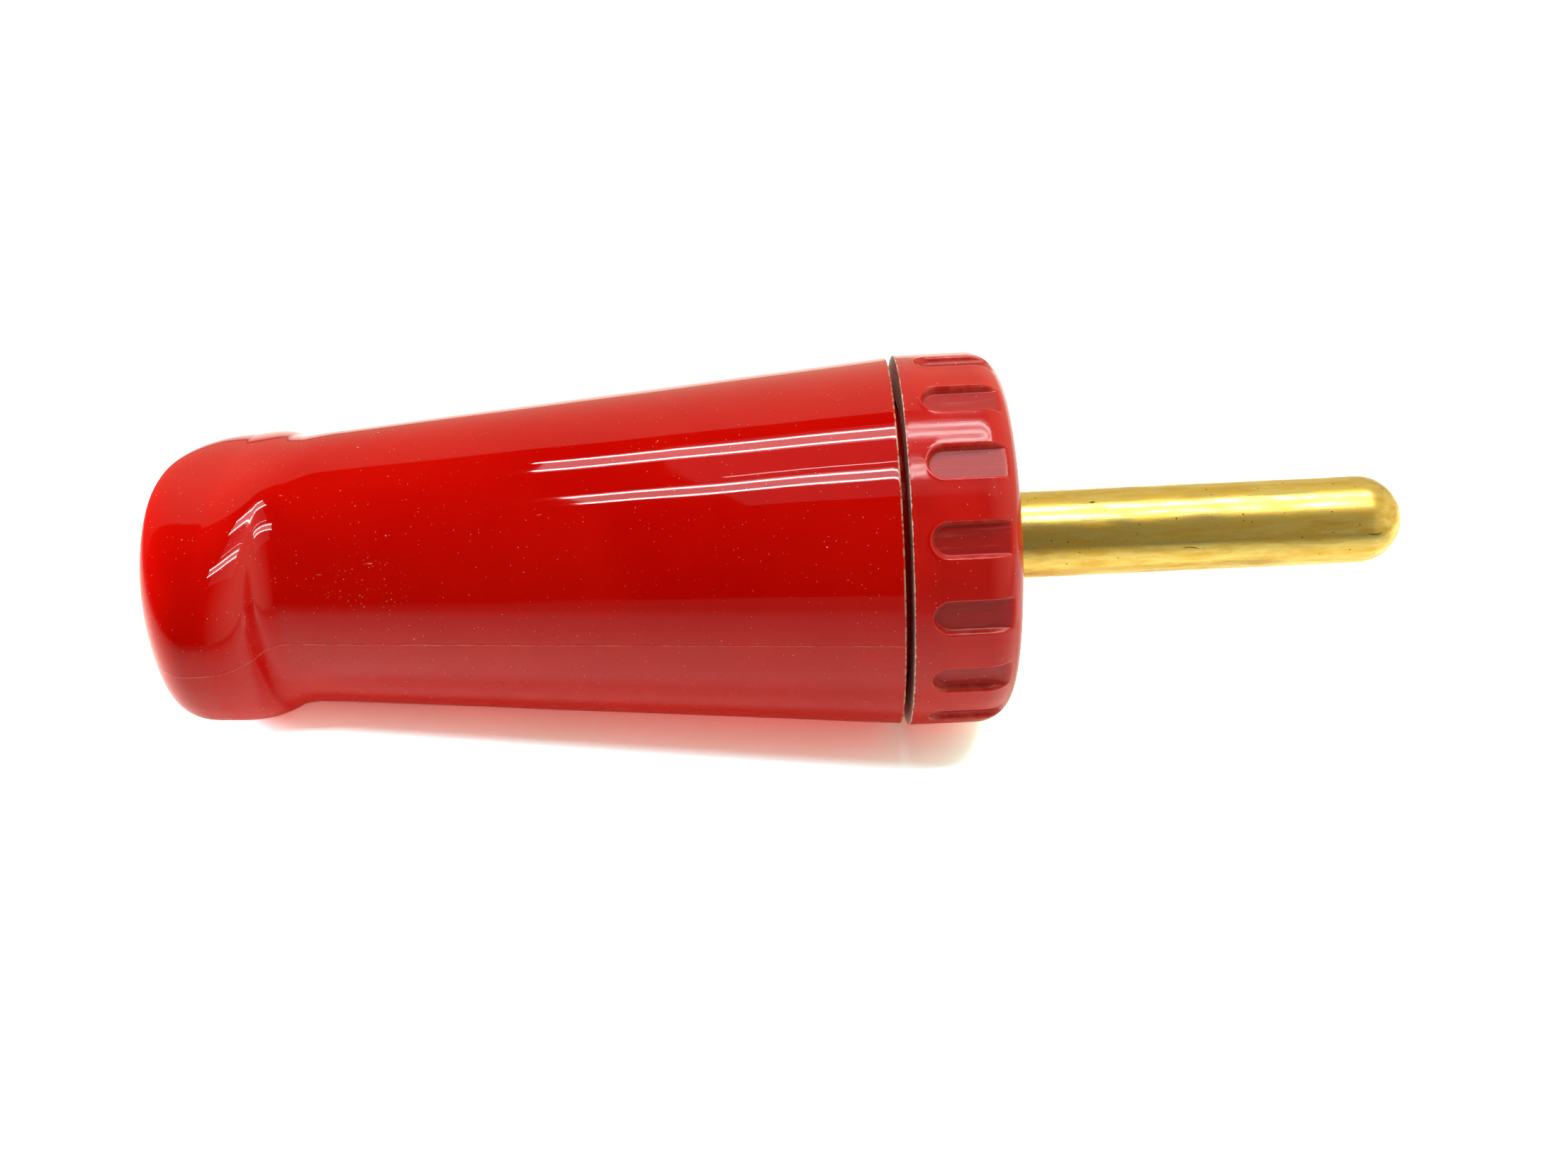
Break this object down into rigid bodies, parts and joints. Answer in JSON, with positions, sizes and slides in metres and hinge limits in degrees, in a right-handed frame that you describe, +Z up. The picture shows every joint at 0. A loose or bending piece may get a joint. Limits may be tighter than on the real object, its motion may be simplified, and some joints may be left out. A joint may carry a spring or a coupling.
{
  "type": "plug pin holder",
  "caption": "Tapered moulded handle with a side-flared rear collar, carrying a domed brass contact pin clamped by a notched screw ring; inside, a screw-clamp cable socket.",
  "frame": {"origin": "centre of the contact pin where it leaves the ring's lip", "axes": "+X along the pin towards its tip; +Z up with the handle's mould parting in the XY plane, so the collar flares along Y"},
  "size_m": [0.1674, 0.0508, 0.0508],
  "materials": {
    "thermoset_gloss": "glossy moulded thermoset, oxide red",
    "thermoset_satin": "satin moulded thermoset, red",
    "pin_brass": "turned brass, handled and slightly tarnished",
    "fibre": "vulcanised fibre sheet",
    "black_rubber": "moulded rubber",
    "nut_brass": "machined brass",
    "zinc_steel": "zinc plated steel"
  },
  "bodies": {
    "body": {"handle": "thermoset_gloss", "contact_pin": "pin_brass", "neck_gasket": "black_rubber", "jam_nut": "nut_brass", "spring_washer": "zinc_steel", "cable_socket": "nut_brass", "cable_bush": "black_rubber"},
    "ring_carrier": {"thrust_washer": "fibre"},
    "ring": {"screw_ring": "thermoset_satin"},
    "pad": {"pressure_pad": "nut_brass"},
    "front_screw": {"clamp_screw_front": "zinc_steel"},
    "rear_screw": {"clamp_screw_rear": "zinc_steel"}
  },
  "joints": [
    {"name": "ring_advance", "type": "slide", "parent": "body", "child": "ring_carrier", "axis": [1, 0, 0], "range_m": [0, 0.0076]},
    {"name": "ring_turn", "type": "hinge", "parent": "ring_carrier", "child": "ring", "pos_m": [0, 0, 0], "axis": [1, 0, 0], "range_deg": [0, 900]},
    {"name": "pad_travel", "type": "slide", "parent": "body", "child": "pad", "axis": [0, 0, -1], "range_m": [0, 0.004]},
    {"name": "front_screw_turn", "type": "hinge", "parent": "pad", "child": "front_screw", "pos_m": [-0.0403, 0, 0.008], "axis": [0, 0, -1], "range_deg": [0, 1440]},
    {"name": "rear_screw_turn", "type": "hinge", "parent": "pad", "child": "rear_screw", "pos_m": [-0.0493, 0, 0.008], "axis": [0, 0, -1], "range_deg": [0, 1440]}
  ],
  "couplings": [
    {"joint": "ring_advance", "follows": "ring_turn", "m_per_rad": 0.00047746},
    {"joint": "front_screw_turn", "follows": "pad_travel", "rad_per_m": 6283.2},
    {"joint": "rear_screw_turn", "follows": "pad_travel", "rad_per_m": 6283.2}
  ]
}
